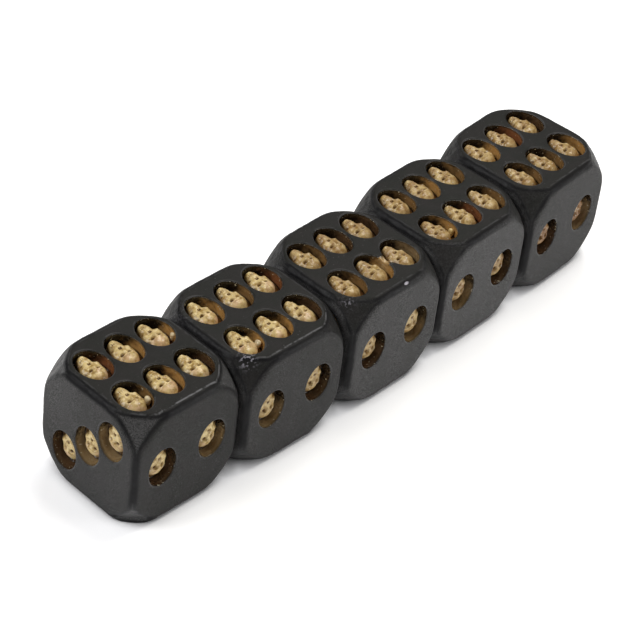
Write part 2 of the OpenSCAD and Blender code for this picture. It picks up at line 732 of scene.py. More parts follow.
@dataclass(frozen=True)
class ResinFinish:
    """Dark cast resin: flats sanded matt, edges left as cast, brown varnish in the wells. Light and shade
    are painted on as well: lighter sides, corners and front edges, pale highlights along the top's edges
    and round the wells, glints, and black shade in the wells.

    A span says where a noise, a mark of the mesh or a place in millimetres starts to tell, and where it
    tells in full.
    """

    sanded_cool: Colour = (0.0148, 0.0153, 0.0130)
    sanded_warm: Colour = (0.0192, 0.0176, 0.0166)
    # Pale colour of the dusting and of the painted light on the sides, also used for scuffs
    dust_and_painted_light: Colour = (0.16, 0.158, 0.16)
    cast: Colour = (0.0072, 0.0069, 0.0078)
    # Pale colour of the painted highlights along the top's edges and round the wells
    painted_highlight: Colour = (0.22, 0.22, 0.23)
    # Pale colour of the painted glints and of the chips
    glint: Colour = (0.50, 0.48, 0.54)
    varnish_glint: Colour = (0.52, 0.46, 0.32)
    # Black painted shade in the wells
    well_shade: Colour = (0.0075, 0.0048, 0.0030)
    # Noises
    cloud: Grain = Grain(0.35, 3.0, 0.6)
    grain: Grain = Grain(14.0, 2.0, 0.6)
    pits: Grain = Grain(3.0, 3.0, 0.6)
    breaks: Grain = Grain(1.1, 2.0, 0.6)
    scratch: Grain = Grain(1.0)
    scratch_stretch: Colour = (0.5, 9.0, 2.5)
    specks: Grain = Grain(3.1, 1.0)
    glints: Grain = Grain(2.4, 1.0)
    tint: Grain = Grain(0.45, 3.0, 0.6)
    flecks: Grain = Grain(2.6, 1.0)
    runs: Grain = Grain(2.0)
    # Where the parts of a die begin
    front_from: Span = (-7.6, -8.4)
    front_run: Span = (-6.5, 5.0)
    near_front_from: Span = (-4.0, -7.5)
    near_front_run: Span = (-7.5, 2.0)
    near_front_left: float = 0.45
    level_drop: Span = (0.4, 0.1)
    border_waver: float = 0.7
    sanded_from: Span = (-0.50, 0.25)
    matt_from: Span = (-0.20, 0.02)
    corner_wear_and_light: float = 0.8
    front_painted_light: float = 0.45
    varnish_waver: float = 0.4
    varnished_from: Span = (0.55, 0.85)
    past_rim: Span = (0.0, 0.03)
    # Marks on the flats and edges, with the painted highlights along the top's edges and round the wells
    warm_from: Span = (0.3, 0.7)
    haze_from: Span = (0.4, 0.8)
    haze_least: float = 0.08
    haze_by_dust_and_light: float = 0.45
    streak_from: Span = (0.64, 0.76)
    streak_weight: float = 0.10
    speck_from: Span = (0.73, 0.77)
    speck_weight: float = 0.3
    highlight_width: float = 0.16
    highlight_past: float = 0.05
    highlight_fade: Span = (0.2, 1.2)
    highlight_weight: float = 0.60
    highlight_least: float = 0.2
    highlight_breaks: Span = (0.36, 0.60)
    highlight_dulling: Span = (0.8, 2.5)
    rim_highlight_fade: Span = (0.45, 0.08)
    rim_highlight_weight: float = 0.16
    rim_highlight_from: Span = (0.40, 0.60)
    glint_from: Span = (0.52, 0.62)
    chip_from: Span = (0.2, 0.6)
    # Varnish and the shade painted in the wells, by the share of a well's depth
    tint_weight: float = 0.7
    lit_side_weight: float = 0.6
    lit_from: Span = (0.47, 0.80)
    # The varnish is painted black as shade just under the rim and at the well's foot
    mouth: Span = (0.02, 0.3)
    mouth_stain: float = 0.15
    foot: Span = (1.0, 0.75)
    fleck_from: Span = (0.70, 0.73)
    varnish_glint_depth: Span = (0.7, 0.3)
    # Gloss and relief
    rough_sanded: float = 0.60
    rough_cast: float = 0.42
    rough_varnish: float = 0.16
    rough_waver: float = 0.25
    rough_pitted: float = -0.12
    grain_height: float = 0.010
    streak_depth: float = -0.5
    pit_height: float = 0.020
    pitted_weight: float = 2.5
    run_height: float = 0.18
    specular: float = 0.13
    coat: float = 0.9
    coat_rough: float = 0.10

    def material(self, sizes: DieSizes) -> bpy.types.Material:
        """Builds the finish.

        Args:
            sizes: Sizes of the die, which say where its flats end.

        Returns:
            The material of a die's body.
        """
        graph = Graph("cast_resin")
        place = graph.millimetres()
        where = self._whereabouts(graph, sizes)
        cloud = graph.noise(place, self.cloud)
        grain = graph.noise(place, self.grain)
        pits = graph.noise(place, self.pits)
        scratch = graph.noise(graph.stretch(place, self.scratch_stretch), self.scratch)
        streak = graph.slide(scratch, *self.streak_from)
        uneven = graph.total(where.border, graph.waver(cloud, self.border_waver))
        # The ball-cut corners take the lighter sanded colour, partly as wear and partly as painted light;
        # the front edges take it as painted light, while the edges behind stay dark
        worn_and_lit_corner = graph.times(where.in_corner, self.corner_wear_and_light)
        painted_front_light = graph.times(where.in_front, self.front_painted_light)
        flat = graph.highest(graph.slide(uneven, *self.sanded_from), worn_and_lit_corner, painted_front_light)
        rim = graph.mark("well")
        well = graph.slide(graph.total(rim, graph.times(pits, self.varnish_waver)), *self.varnished_from)
        pitted = graph.mark("pitted")

        sanded = graph.mix(graph.slide(cloud, *self.warm_from), self.sanded_cool, self.sanded_warm)
        # The dusting and its painted light lighten the sides only, never the top or the bottom
        dust_and_light_share = graph.times(graph.mark("dust_and_painted_light"), graph.less(1.0, where.in_level))
        haze_and_light = graph.total(self.haze_least, graph.times(dust_and_light_share, self.haze_by_dust_and_light))
        haze_and_light = graph.times(graph.slide(grain, *self.haze_from), haze_and_light)
        sanded = graph.mix(haze_and_light, sanded, self.dust_and_painted_light)
        speck = graph.slide(graph.noise(place, self.specks), *self.speck_from)
        scuffs = graph.highest(
            graph.times(streak, self.streak_weight), graph.times(speck, self.speck_weight)
        )
        sanded = graph.mix(scuffs, sanded, self.dust_and_painted_light)
        outside = graph.mix(flat, self.cast, sanded)
        # Painted highlight: a broken pale arc just outside each well's rim
        rim_highlight = graph.times(
            graph.slide(rim, *self.past_rim),
            graph.slide(rim, *self.rim_highlight_fade, 0.0, self.rim_highlight_weight),
            graph.slide(cloud, *self.rim_highlight_from),
        )
        # The painted highlights along the top's edges and round the rims take the pale highlight colour
        pale = graph.highest(self._edge_highlight(graph, place, where), rim_highlight)
        outside = graph.mix(pale, outside, self.painted_highlight)
        # Painted glints on the pitted spots; the chips take the same pale colour, partly as lighter bare
        # resin and partly as a painted highlight
        bright = graph.slide(graph.noise(place, self.glints), *self.glint_from)
        bright = graph.times(bright, graph.mark("glints"))
        chip = graph.slide(graph.mark("chip"), *self.chip_from)
        outside = graph.mix(graph.highest(bright, chip), outside, self.glint)
        colour = graph.mix(well, outside, self._varnish(graph, place))

        matt = graph.times(graph.slide(uneven, *self.matt_from), graph.slide(rim, *self.past_rim, 1.0, 0.0))
        rough = graph.total(
            self.rough_cast,
            graph.times(matt, self.rough_sanded - self.rough_cast),
            graph.waver(pits, self.rough_waver),
            graph.times(pitted, self.rough_pitted),
        )
        rough = graph.total(rough, graph.times(well, graph.less(self.rough_varnish, rough)))
        fine = graph.total(grain, graph.times(streak, self.streak_depth))
        cast_skin = graph.total(graph.less(1.0, flat), graph.times(pitted, self.pitted_weight))
        height = graph.total(
            graph.times(fine, self.grain_height),
            graph.times(pits, cast_skin, self.pit_height),
            graph.times(well, graph.noise(place, self.runs), self.run_height),
        )
        coat = graph.times(well, self.coat)
        graph.surface(colour, rough, height, self.specular, coat, self.coat_rough)
        return graph.material

    def _whereabouts(self, graph: Graph, sizes: DieSizes) -> Whereabouts:
        """Finds where a place lies between the flats of a die.

        Args:
            graph: Recipe to add to.
            sizes: Sizes of the die.

        Returns:
            The place's whereabouts.
        """
        right, back, up = graph.axes(graph.mark("die_pos", "Vector"))
        front_run = graph.slide(right, *self.front_run)
        near_run = graph.slide(right, *self.near_front_run, self.near_front_left, 1.0)
        x, y, z = (graph.size(part) for part in (right, back, up))
        largest = graph.highest(x, y, z)
        smallest = graph.lowest(x, y, z)
        middle = graph.less(graph.total(x, y, z), graph.total(largest, smallest))
        from_edge = graph.less(sizes.half - sizes.edge_round, middle)
        squares = graph.total(graph.times(middle, middle), graph.times(smallest, smallest))
        from_corner = graph.less(sizes.flat_radius, graph.math("POWER", squares, 0.5))
        return Whereabouts(
            border=graph.lowest(from_edge, from_corner),
            in_corner=graph.slide(largest, *sizes.below(CORNER_DROP)),
            in_level=graph.slide(z, *sizes.below(self.level_drop)),
            in_front=graph.times(graph.slide(back, *self.front_from), front_run),
            near_front=graph.times(graph.slide(back, *self.near_front_from), near_run),
        )

    def _edge_highlight(self, graph: Graph, place: Feed, where: Whereabouts) -> Feed:
        """Finds the painted highlight: broken pale lines along the edges of the top, strongest along the
        front and fainter where the dusting and painted light are strong.

        Args:
            graph: Recipe to add to.
            place: Place on the object in millimetres.
            where: Whereabouts of the place.

        Returns:
            The weight of the pale lines.
        """
        near = graph.size(graph.math("DIVIDE", graph.total(where.border, self.highlight_past), self.highlight_width))
        return graph.times(
            graph.slide(near, *self.highlight_fade, self.highlight_weight, 0.0),
            where.in_level,
            graph.slide(where.near_front, 0.0, 1.0, self.highlight_least, 1.0),
            graph.slide(graph.noise(place, self.breaks), *self.highlight_breaks),
            graph.slide(graph.mark("dust_and_painted_light"), *self.highlight_dulling, 1.0, self.highlight_least),
        )

    def _varnish(self, graph: Graph, place: Feed) -> bpy.types.NodeSocket:
        """Finds the colour of the varnish with painted shade on it: black on the side of each well away
        from the light, just under the rim and at the foot.

        Args:
            graph: Recipe to add to.
            place: Place on the object in millimetres.

        Returns:
            The colour.
        """
        depth = graph.mark("depth")
        tint = graph.times(graph.noise(place, self.tint), self.tint_weight)
        lit_side = graph.total(tint, graph.times(graph.mark("lit_side"), self.lit_side_weight))
        share = graph.times(
            graph.slide(lit_side, *self.lit_from),
            graph.slide(depth, *self.mouth, self.mouth_stain, 1.0),
            graph.slide(depth, *self.foot),
        )
        varnish = graph.mix(share, self.well_shade, graph.mark("stain", "Vector"))
        # Painted glints: pale specks on the varnish near the wells' mouths
        flecks = graph.slide(graph.noise(place, self.flecks), *self.fleck_from)
        return graph.mix(graph.times(flecks, graph.slide(depth, *self.varnish_glint_depth)), varnish, self.varnish_glint)


@dataclass(frozen=True)
class BoneFinish:
    """Bone-coloured resin with a brown stain gathered in the carving, and painted light and shade: a
    pinkish highlight on the crowns, and darker skulls on the sides, at their feet and on their pads.

    A span says where a noise or a mark of the mesh starts to tell, and where it tells in full.
    """

    bone: Colour = (0.355, 0.218, 0.060)
    pale: Colour = (0.73, 0.565, 0.258)
    # Pinkish painted highlight on the skulls' crowns
    highlight_pink: Colour = (0.78, 0.53, 0.34)
    ochre: Colour = (0.245, 0.122, 0.042)
    # Brown of the stain in the hollows, also used as painted shade at the skulls' feet and on their pads
    wash: Colour = (0.13, 0.060, 0.013)
    pit: Colour = (0.022, 0.010, 0.003)
    white: Colour = (0.70, 0.64, 0.52)
    # Noises
    cloud: Grain = Grain(0.8, 3.0, 0.6)
    mottle: Grain = Grain(1.5, 3.0, 0.55)
    grain: Grain = Grain(9.0, 2.0, 0.6)
    flecks: Grain = Grain(2.9, 1.0)
    # Colours and where they lie
    pale_from: Span = (0.32, 0.62)
    crown_highlight_from: Span = (0.4, 0.65)
    crown_highlight_weight: float = 0.6
    crown_highlight_dulling: Span = (0.2, 0.8)
    crown_highlight_least: float = 0.1
    flank_from: Span = (0.35, 0.6)
    flank_weights: Span = (0.35, 0.95)
    stain_and_shade_from: Span = (0.75, 0.30)
    stain_and_shade_weights: Span = (0.2, 0.7)
    fleck_from: Span = (0.68, 0.72)
    fleck_weight: float = 0.6
    hollow_waver: float = 0.9
    wash_and_shade_hollow: Span = (0.10, 0.55)
    pit_hollow: Span = (0.55, 1.0)
    # Gloss and relief
    rough: float = 0.38
    rough_waver: float = 0.3
    mottle_height: float = 0.06
    grain_height: float = 0.008
    coat: float = 0.35
    coat_hollow: Span = (0.05, 0.4)
    coat_rough: float = 0.08
    specular: float = 0.28

    def material(self) -> bpy.types.Material:
        """Builds the finish.

        Returns:
            The material of the skulls.
        """
        graph = Graph("bone_resin")
        place = graph.millimetres()
        cloud = graph.noise(place, self.cloud)
        mottle = graph.noise(place, self.mottle)
        grain = graph.noise(place, self.grain)
        cavity = graph.mark("cavity")
        wash_and_shade_level = graph.mark("wash")
        # Painted highlight: pinkish light on the crown end of each skull, fainter where the brown stain and
        # painted shade are strong
        crown_highlight = graph.times(
            graph.mark("crown"),
            graph.slide(cloud, *self.crown_highlight_from, 0.0, self.crown_highlight_weight),
            graph.slide(wash_and_shade_level, *self.crown_highlight_dulling, 1.0, self.crown_highlight_least),
        )
        flank = graph.times(graph.mark("flank"), graph.slide(cloud, *self.flank_from, *self.flank_weights))
        # Ochre stain, deepened into painted shade on the side skulls
        stained_and_shaded = graph.times(wash_and_shade_level, graph.slide(cloud, *self.stain_and_shade_from, *self.stain_and_shade_weights))
        flecks = graph.slide(graph.noise(place, self.flecks), *self.fleck_from)
        bleached = graph.highest(graph.mark("bleach"), graph.times(flecks, self.fleck_weight))
        hollow = graph.total(cavity, graph.waver(mottle, self.hollow_waver))
        colour = graph.mix(graph.slide(mottle, *self.pale_from), self.bone, self.pale)
        for share, tone in (
            (crown_highlight, self.highlight_pink),
            (flank, self.ochre),
            (stained_and_shaded, self.ochre),
            (bleached, self.white),
            (graph.slide(hollow, *self.wash_and_shade_hollow), self.wash),
            (graph.slide(hollow, *self.pit_hollow), self.pit),
        ):
            colour = graph.mix(share, colour, tone)
        rough = graph.total(self.rough, graph.waver(grain, self.rough_waver))
        height = graph.total(graph.times(mottle, self.mottle_height), graph.times(grain, self.grain_height))
        coat = graph.slide(cavity, *self.coat_hollow, self.coat, 0.0)
        graph.surface(colour, rough, height, self.specular, coat, self.coat_rough)
        return graph.material


@dataclass(frozen=True)
class FloorFinish:
    """White matt sweep under the dice, which glows where nothing stands close."""

    white: Colour = (0.93, 0.93, 0.94)
    cool: Colour = (0.90, 0.90, 0.92)
    dark: Colour = (0.0, 0.0, 0.0)
    cloud: Grain = Grain(0.01)
    cloud_weight: float = 0.1
    tooth: Grain = Grain(2.0)
    tooth_height: float = 0.002
    rough: float = 0.7
    specular: float = 0.2
    glow: float = 0.53
    shade_reach: float = 0.003
    shade_samples: int = 8
    open_from: Span = (0.25, 0.75)

    def material(self) -> bpy.types.Material:
        """Builds the finish.

        Returns:
            The material of the floor.
        """
        graph = Graph("white_floor")
        place = graph.millimetres()
        cloud = graph.times(graph.noise(place, self.cloud), self.cloud_weight)
        height = graph.times(graph.noise(place, self.tooth), self.tooth_height)
        shader = graph.surface(graph.mix(cloud, self.white, self.cool), self.rough, height, self.specular)
        open_sky = graph.add("ShaderNodeAmbientOcclusion", samples=self.shade_samples)
        graph.feed(open_sky.inputs["Distance"], self.shade_reach)
        bright = graph.slide(open_sky.outputs["AO"], *self.open_from)
        graph.feed(shader.inputs["Emission Color"], graph.mix(bright, self.dark, self.white))
        graph.feed(shader.inputs["Emission Strength"], self.glow)
        return graph.material


@dataclass(frozen=True)
class Well:
    """One oval well of a die, in the die's millimetres."""

    face: Face
    across: float
    along: float
    sizes: DieSizes
    seed: float
    varnish: Varnish
    # Turn towards which the varnish is painted lit; the other side of the well is painted in shade
    lit_angle: float
    rim_out: float = 0.11
    rim_round: float = 0.24
    rim_steps: int = 4
    wall_steps: int = 3
    foot_steps: int = 2
    wobble: float = 0.010
    wobble_scales: Span = (1.6, 4.0)
    draft: float = 0.06
    foot_round: float = 0.25

    def point(self, angle: float, inset: float, depth: float) -> Vector:
        """Point of the well's wall.

        Args:
            angle: Turn round the oval, in radians.
            inset: Distance inwards from the well's mouth.
            depth: Distance below the face.

        Returns:
            The point.
        """
        way = Vector((math.cos(angle), math.sin(angle), 0.0))
        swell = 1 + self.wobble * lumps(way, self.wobble_scales, self.seed)
        x = self.across + (self.sizes.well_width / 2 - inset) * swell * way.x
        y = self.along + (self.sizes.well_length / 2 - inset) * swell * way.y
        return self.face.turn() @ Vector((x, y, self.sizes.half - depth))

    def covers(self, x: float, y: float, margin: float) -> bool:
        """Tells whether a place on the face is in the well's mouth.

        Args:
            x: Place across the wells.
            y: Place along the wells.
            margin: How much the mouth is widened for it.

        Returns:
            True if it is.
        """
        reach_x = self.sizes.well_width / 2 + margin
        reach_y = self.sizes.well_length / 2 + margin
        return math.hypot((x - self.across) / reach_x, (y - self.along) / reach_y) < 1

    def profile(self) -> list[tuple[float, float]]:
        """Draws the wall below the rim's outer ring: a rounded rim, a drafted wall and a rounded foot.

        Returns:
            Rings of the wall from the top down, as pairs of inset and depth.
        """
        deep, foot, rim = self.sizes.well_depth, self.foot_round, self.rim_round
        wall = rim - self.rim_out
        rings = []
        for step in range(1, self.rim_steps + 1):
            turn = math.radians(90 * step / self.rim_steps)
            rings.append((wall + rim * (math.sin(turn) - 1), rim * (1 - math.cos(turn))))
        for step in range(1, self.wall_steps + 1):
            share = step / self.wall_steps
            rings.append((wall + self.draft * share, rim + (deep - foot - rim) * share))
        for step in range(1, self.foot_steps + 1):
            turn = math.radians(90 * step / self.foot_steps)
            inset = wall + self.draft + foot * (1 - math.cos(turn))
            rings.append((inset, deep - foot * (1 - math.sin(turn))))
        return rings


@dataclass
class DieBody:
    """The cast block of one die: ball-cut corners, rounded edges and 21 oval wells."""

    place: DiePlace
    sizes: DieSizes
    look: DieLook
    finish: bpy.types.Material
    grid: int = 96
    rim_segments: int = 76
    open_margin: float = 0.12
    rim_margin: float = 0.30
    crease: float = 0.5
    corner_wobble: float = 0.16
    corner_scale: float = 1.7
    edge_lump: float = 0.06
    edge_from: Span = (1.02, 1.3)
    ball_from: Span = (-0.1, 0.5)
    lump_scales: Span = (0.8, 2.1)
    lump_shift: float = 3.0
    lump_level: float = 0.4
    # Turns towards which the wells' varnish is painted lit, on the top and on the sides
    top_lit_angle: float = -72.0
    side_lit_angle: float = -100.0
    left_from: Span = (-7.5, -8.8)
    back_painted_light: float = 2.0
    back_from: Span = (0.0, 9.0)
    high_from: Span = (-4.0, 8.0)
    die_seed: float = 11.3
    face_seed: float = 5.7
    pip_seed: float = 1.9

    def seed(self) -> float:
        """Offset for this die's unevenness."""
        return self.die_seed * self.place.number

    def wells(self, face: Face) -> list[Well]:
        """Finds the wells of a face.

        Args:
            face: The face.

        Returns:
            Its wells. On the sides, the varnish is handed on by one well from each die to the next.
        """
        on_top = face is Face.SIX
        varnish = self.look.top_varnish if on_top else SIDE_VARNISH[face]
        handed_on = 0 if on_top else self.place.number - 1
        lit_angle = math.radians(self.top_lit_angle if on_top else self.side_lit_angle)
        first = self.seed() + self.face_seed * face.pips
        wells = []
        for index, (x, y) in enumerate(self.sizes.pip_places(face)):
            coat = varnish[(index + handed_on) % len(varnish)]
            wells.append(Well(face, x, y, self.sizes, first + self.pip_seed * index, coat, lit_angle))
        return wells

    def build(self) -> bpy.types.Object:
        """Builds the body and puts it on its CAD body.

        Returns:
            The finished piece.
        """
        bm = bmesh.new()
        for mark in ("well", "depth", "chip", "dust_and_painted_light", "pitted", "glints", "lit_side"):
            bm.verts.layers.float.new(mark)
        bm.verts.layers.float_vector.new("die_pos")
        bm.verts.layers.float_vector.new("stain")
        loops = self._open_block(bm)
        for vert in bm.verts:
            vert.co = self._formed(vert.co)
        for face in Face:
            self._fill_face(bm, face, loops[face])
        self._knock(bm)
        bmesh.ops.recalc_face_normals(bm, faces=bm.faces)
        self._mark(bm)
        bmesh.ops.transform(bm, matrix=self.place.matrix(), verts=bm.verts)
        number = self.place.number
        piece = new_piece(bm, f"die_{number}_cast_body", self.finish)
        even = piece.modifiers.new("even_normals", "WEIGHTED_NORMAL")
        even.keep_sharp = True
        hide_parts(f"die_{number}_body")
        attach(piece, f"die_{number}")
        return piece

    def _open_block(self, bm: bmesh.types.BMesh) -> dict[Face, list[bmesh.types.BMEdge]]:
        """Makes a gridded cube and opens the flat of every face.

        Args:
            bm: The bmesh to fill.

        Returns:
            The edges round the opening of each face.
        """
        bmesh.ops.create_cube(bm, size=2 * self.sizes.half)
        bmesh.ops.subdivide_edges(bm, edges=bm.edges[:], cuts=self.grid - 1, use_grid_fill=True)
        bm.normal_update()
        level = {face: face.turn().inverted() for face in Face}
        wells = {face: self.wells(face) for face in Face}
        inner = self.sizes.half - self.sizes.edge_round - self.open_margin
        ball = self.sizes.ball - self.crease - self.corner_wobble
        reach = math.sqrt(ball**2 - self.sizes.half**2) - self.open_margin
        doomed = []
        for cell in bm.faces:
            face = Face.facing(cell.normal)
            x, y, _ = level[face] @ cell.calc_center_median()
            flat = max(abs(x), abs(y)) < inner and math.hypot(x, y) < reach
            if flat or any(well.covers(x, y, self.rim_margin) for well in wells[face]):
                doomed.append(cell)
        bmesh.ops.delete(bm, geom=doomed, context="FACES")
        loops = {face: [] for face in Face}
        for edge in bm.edges:
            if edge.is_boundary:
                loops[Face.facing(edge.verts[0].co + edge.verts[1].co)].append(edge)
        return loops

    def _formed(self, spot: Vector) -> Vector:
        """Moves a point of the sharp cube onto the rounded, ball-cut and slightly uneven block.

        Args:
            spot: Point on the cube.

        Returns:
            The point on the block.
        """
        inner = self.sizes.half - self.sizes.edge_round
        core = Vector([max(-inner, min(inner, part)) for part in spot])
        out = spot - core
        rounded = core + out.normalized() * self.sizes.edge_round
        way = rounded.normalized()
        ball = self.sizes.ball + self.corner_wobble * lump(way, self.corner_scale, self.seed())
        for corner in self.look.full_corners:
            ball = corner.reach(way, ball)
        far = rounded.length
        cut = smooth_min(far, ball, self.crease)
        on_edge = ease(out.length / self.sizes.edge_round, *self.edge_from)
        on_ball = ease(far, ball + self.ball_from[0], ball + self.ball_from[1])
        uneven = lumps(spot, self.lump_scales, self.seed(), shift=self.lump_shift)
        worn = self.edge_lump * max(on_edge, on_ball) * (uneven - self.lump_level)
        return way * (cut + min(0.0, worn))

    def _fill_face(self, bm: bmesh.types.BMesh, face: Face, outer: list[bmesh.types.BMEdge]) -> None:
        """Closes the flat of a face round its wells, and sinks the wells.

        Args:
            bm: The bmesh.
            face: The face.
            outer: Edges round the face's opening.
        """
        rims = []
        for well in self.wells(face):
            made = bmesh.ops.create_circle(bm, segments=self.rim_segments, radius=1.0)["verts"]
            for vert in made:
                angle = math.atan2(vert.co.y, vert.co.x)
                vert.co = self._on_block(well, angle, -well.rim_out, 0.0)
            rims.append((well, list(dict.fromkeys(edge for vert in made for edge in vert.link_edges))))
        edges = outer + [edge for _, rim in rims for edge in rim]
        normal = face.turn().col[2]
        bmesh.ops.triangle_fill(bm, edges=edges, use_beauty=True, use_dissolve=False, normal=normal)
        for well, rim in rims:
            self._sink(bm, well, rim)

    def _on_block(self, well: Well, angle: float, inset: float, depth: float) -> Vector:
        """Point of a well's wall, its mouth following the form of the block.

        Args:
            well: The well.
            angle: Turn round the oval, in radians.
            inset: Distance inwards from the well's mouth.
            depth: Distance below the face.

        Returns:
            The point.
        """
        top = well.point(angle, inset, 0.0)
        share = 1 - depth / self.sizes.well_depth
        return well.point(angle, inset, depth) + (self._formed(top) - top) * share

    def _sink(self, bm: bmesh.types.BMesh, well: Well, rim: list[bmesh.types.BMEdge]) -> None:
        """Draws a well's wall down from its rim, and closes its floor.

        Args:
            bm: The bmesh.
            well: The well.
            rim: Edges of the rim's outer ring.
        """
        in_well, depths, lit_side = marks(bm, "well", "depth", "lit_side")
        stain = bm.verts.layers.float_vector["stain"]
        level = well.face.turn().inverted()
        inset_before = -well.rim_out
        ring = rim
        for inset, depth in well.profile():
            made = bmesh.ops.extrude_edge_only(bm, edges=ring)["geom"]
            verts = {part for part in made if isinstance(part, bmesh.types.BMVert)}
            edges = [part for part in made if isinstance(part, bmesh.types.BMEdge)]
            ring = [edge for edge in edges if verts.issuperset(edge.verts)]
            for vert in verts:
                x, y, _ = level @ vert.co
                across = (x - well.across) / (self.sizes.well_width / 2 - inset_before)
                along = (y - well.along) / (self.sizes.well_length / 2 - inset_before)
                angle = math.atan2(along, across)
                vert.co = self._on_block(well, angle, inset, depth)
                # Painted light: how far the point lies towards the lit side of the well
                vert[lit_side] = (1 + math.cos(angle - well.lit_angle)) / 2
                vert[in_well] = min(1.0, depth / well.rim_round)
                vert[depths] = depth / self.sizes.well_depth
                vert[stain] = well.varnish.value
            inset_before = inset
        bmesh.ops.edgeloop_fill(bm, edges=ring)

    def _knock(self, bm: bmesh.types.BMesh) -> None:
        """Dents the chipped spots, and lowers the wall that is broken.

        Args:
            bm: The bmesh.
        """
        chipped, in_well, depths, lit_side = marks(bm, "chip", "well", "depth", "lit_side")
        stain = bm.verts.layers.float_vector["stain"]
        breach = self.look.breach
        deep = self.sizes.well_depth
        for vert in bm.verts:
            for chip in self.look.chips:
                share = chip.share(vert.co)
                if share > UNTOUCHED:
                    vert.co -= vert.co.normalized() * chip.depth * share
                    vert[chipped] = max(vert[chipped], share)
            depth = self.sizes.half - vert.co.z
            if breach is None or depth >= deep:
                continue
            share = breach.share(vert.co)
            if share > UNTOUCHED:
                varnished = ease(share, *breach.varnished_from)
                vert.co.z -= breach.depth * share * (1 - depth / deep)
                vert[in_well] = max(vert[in_well], varnished)
                vert[depths] = max(vert[depths], breach.varnish_depth * varnished)
                vert[lit_side] = max(vert[lit_side], share)
                vert[stain] = Vector(vert[stain]).lerp(Vector(Varnish.BONE.value), share)

    def _mark(self, bm: bmesh.types.BMesh) -> None:
        """Writes every vertex's place on the die, its dusting with painted light on the sides and corners,
        its rough skin and its painted glints, for the finish.

        Args:
            bm: The bmesh.
        """
        place = bm.verts.layers.float_vector["die_pos"]
        dust_and_light_share, pitted, glints = marks(bm, "dust_and_painted_light", "pitted", "glints")
        look = self.look
        for vert in bm.verts:
            vert[place] = vert.co
            for skin in look.pitted:
                near = skin.share(vert.co)
                vert[pitted] = max(vert[pitted], near)
                vert[glints] = max(vert[glints], skin.glints * near)
            x, y, z = vert.co
            # Painted light: the left face is lightened, more towards its back and top, and the corners get
            # their own dusting and painted light
            lit_towards_back = 1.0 + self.back_painted_light * ease(y, *self.back_from) * ease(z, *self.high_from)
            on_flat = look.dust_and_painted_light + ease(x, *self.left_from) * lit_towards_back
            in_corner = ease(max(abs(x), abs(y), abs(z)), *self.sizes.below(CORNER_DROP))
            vert[dust_and_light_share] = on_flat + (look.corner_dust_and_light - on_flat * look.corner_wipe) * in_corner


@dataclass(frozen=True)
class Relief:
    """A soft form of a skull's face, the same on both sides, in millimetres.

    It has a height, a place and a spread across and along the skull, and a share of wash in it.
    """

    height: float
    across: float
    width: float
    along: float
    length: float
    stain: float = 0.0

    def share(self, side: float, y: float) -> float:
        """How far a place is within the form, from 0 to 1."""
        return bell(side - self.across, self.width) * bell(y - self.along, self.length)


@dataclass(frozen=True)
class Socket(Relief):
    """A hollow of a skull's face with a clear edge, which may slant forwards towards its sides."""

    reach: Span = (1.2, 0.3)
    slant: float = 0.0

    def share(self, side: float, y: float) -> float:
        """How far a place is within the hollow, from 0 to 1."""
        ahead = y - self.along - self.slant * side
        return ease(math.hypot((side - self.across) / self.width, ahead / self.length), *self.reach)


